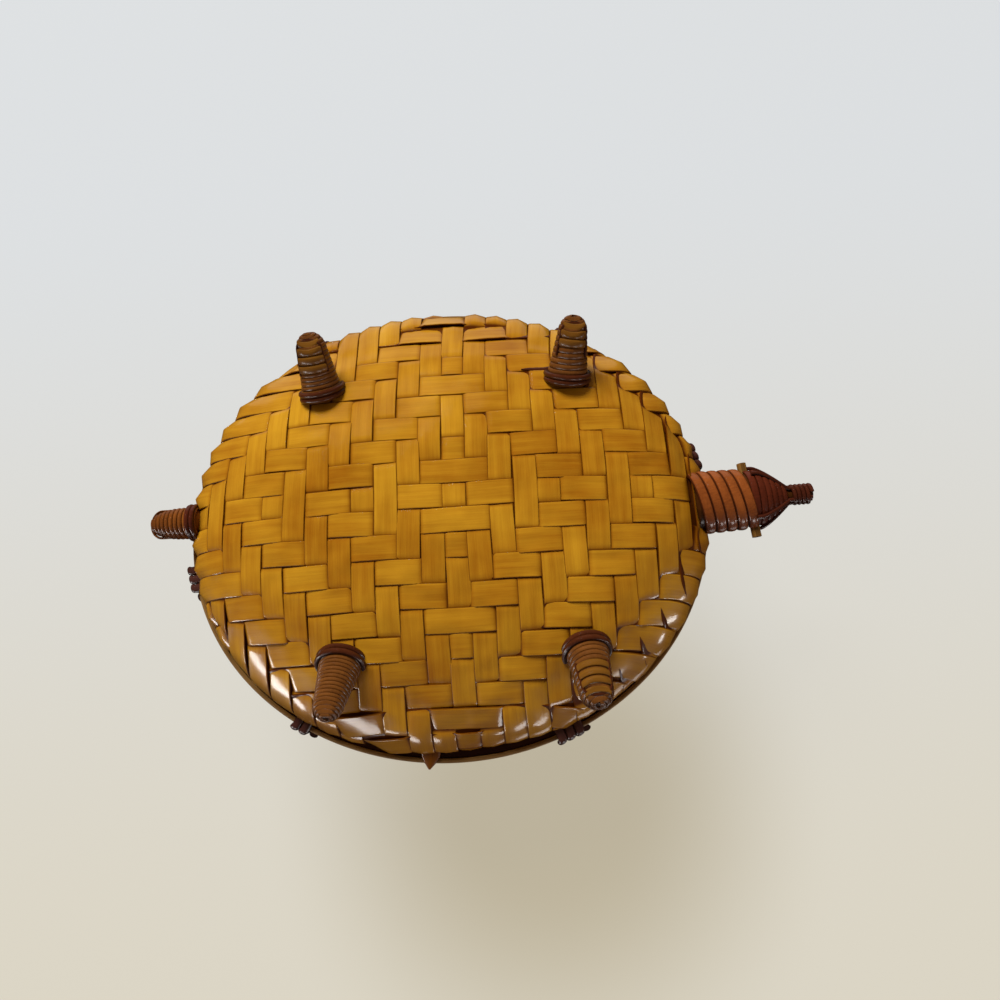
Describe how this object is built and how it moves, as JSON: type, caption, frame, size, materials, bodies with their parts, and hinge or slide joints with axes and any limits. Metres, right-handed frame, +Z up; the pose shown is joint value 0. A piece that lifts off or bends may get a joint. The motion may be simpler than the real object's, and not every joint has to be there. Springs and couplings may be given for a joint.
{
  "type": "armadillo basket",
  "caption": "Lidded woven basket shaped like an armadillo: twill bamboo bowl on splayed cane-wound feet, with wound neck, pointed head, tail stub and a domed back that lifts off.",
  "frame": {"origin": "on the ground under the middle of the whole length, midway across the rim hoop", "axes": "+X to the snout, +Y to the animal's left side, +Z up through the lid"},
  "size_m": [0.2488, 0.1768, 0.0868],
  "materials": {
    "weave": "varnished bamboo strip, satin gloss",
    "hoop": "split bamboo, satin",
    "filler": "dark stained cane, satin",
    "lashing": "dark cane, satin",
    "leg_cane": "varnished fine cane, satin",
    "core": "bamboo and cane bundle, satin",
    "neck_cane": "varnished split cane, gloss",
    "strand": "dark cane, satin"
  },
  "bodies": {
    "base": {"belly_shell": "weave", "rim_core": "filler", "rim_hoop": "hoop", "neck_core": "core", "head_core": "core", "tail_core": "core", "neck_wrap": "neck_cane", "head_wrap": "neck_cane", "ear_peg": "neck_cane", "neck_tie": "leg_cane", "tail_tie": "leg_cane", "tail_wrap": "leg_cane", "snout_binding": "strand", "leg_core_front_left": "core", "leg_wrap_front_left": "leg_cane", "leg_tie_front_left": "leg_cane", "leg_core_front_right": "core", "leg_wrap_front_right": "leg_cane", "leg_tie_front_right": "leg_cane", "leg_core_rear_left": "core", "leg_wrap_rear_left": "leg_cane", "leg_tie_rear_left": "leg_cane", "leg_core_rear_right": "core", "leg_wrap_rear_right": "leg_cane", "leg_tie_rear_right": "leg_cane", "rim_lashing_1": "lashing", "head_strand_1": "strand", "rim_lashing_2": "lashing", "head_strand_2": "strand", "rim_lashing_3": "lashing", "head_strand_3": "strand", "rim_lashing_4": "lashing", "head_strand_4": "strand", "rim_lashing_5": "lashing", "head_strand_5": "strand", "rim_lashing_6": "lashing", "head_strand_6": "strand"},
    "lid": {"lid_shell": "weave", "lid_hoop": "hoop", "lid_collar": "hoop", "lid_lashing_1": "lashing", "lid_lashing_2": "lashing", "lid_lashing_3": "lashing", "lid_lashing_4": "lashing", "lid_lashing_5": "lashing", "lid_lashing_6": "lashing"}
  },
  "joints": [
    {"name": "lid_lift", "type": "slide", "parent": "base", "child": "lid", "axis": [0, 0, 1], "range_m": [0, 0.08]}
  ]
}
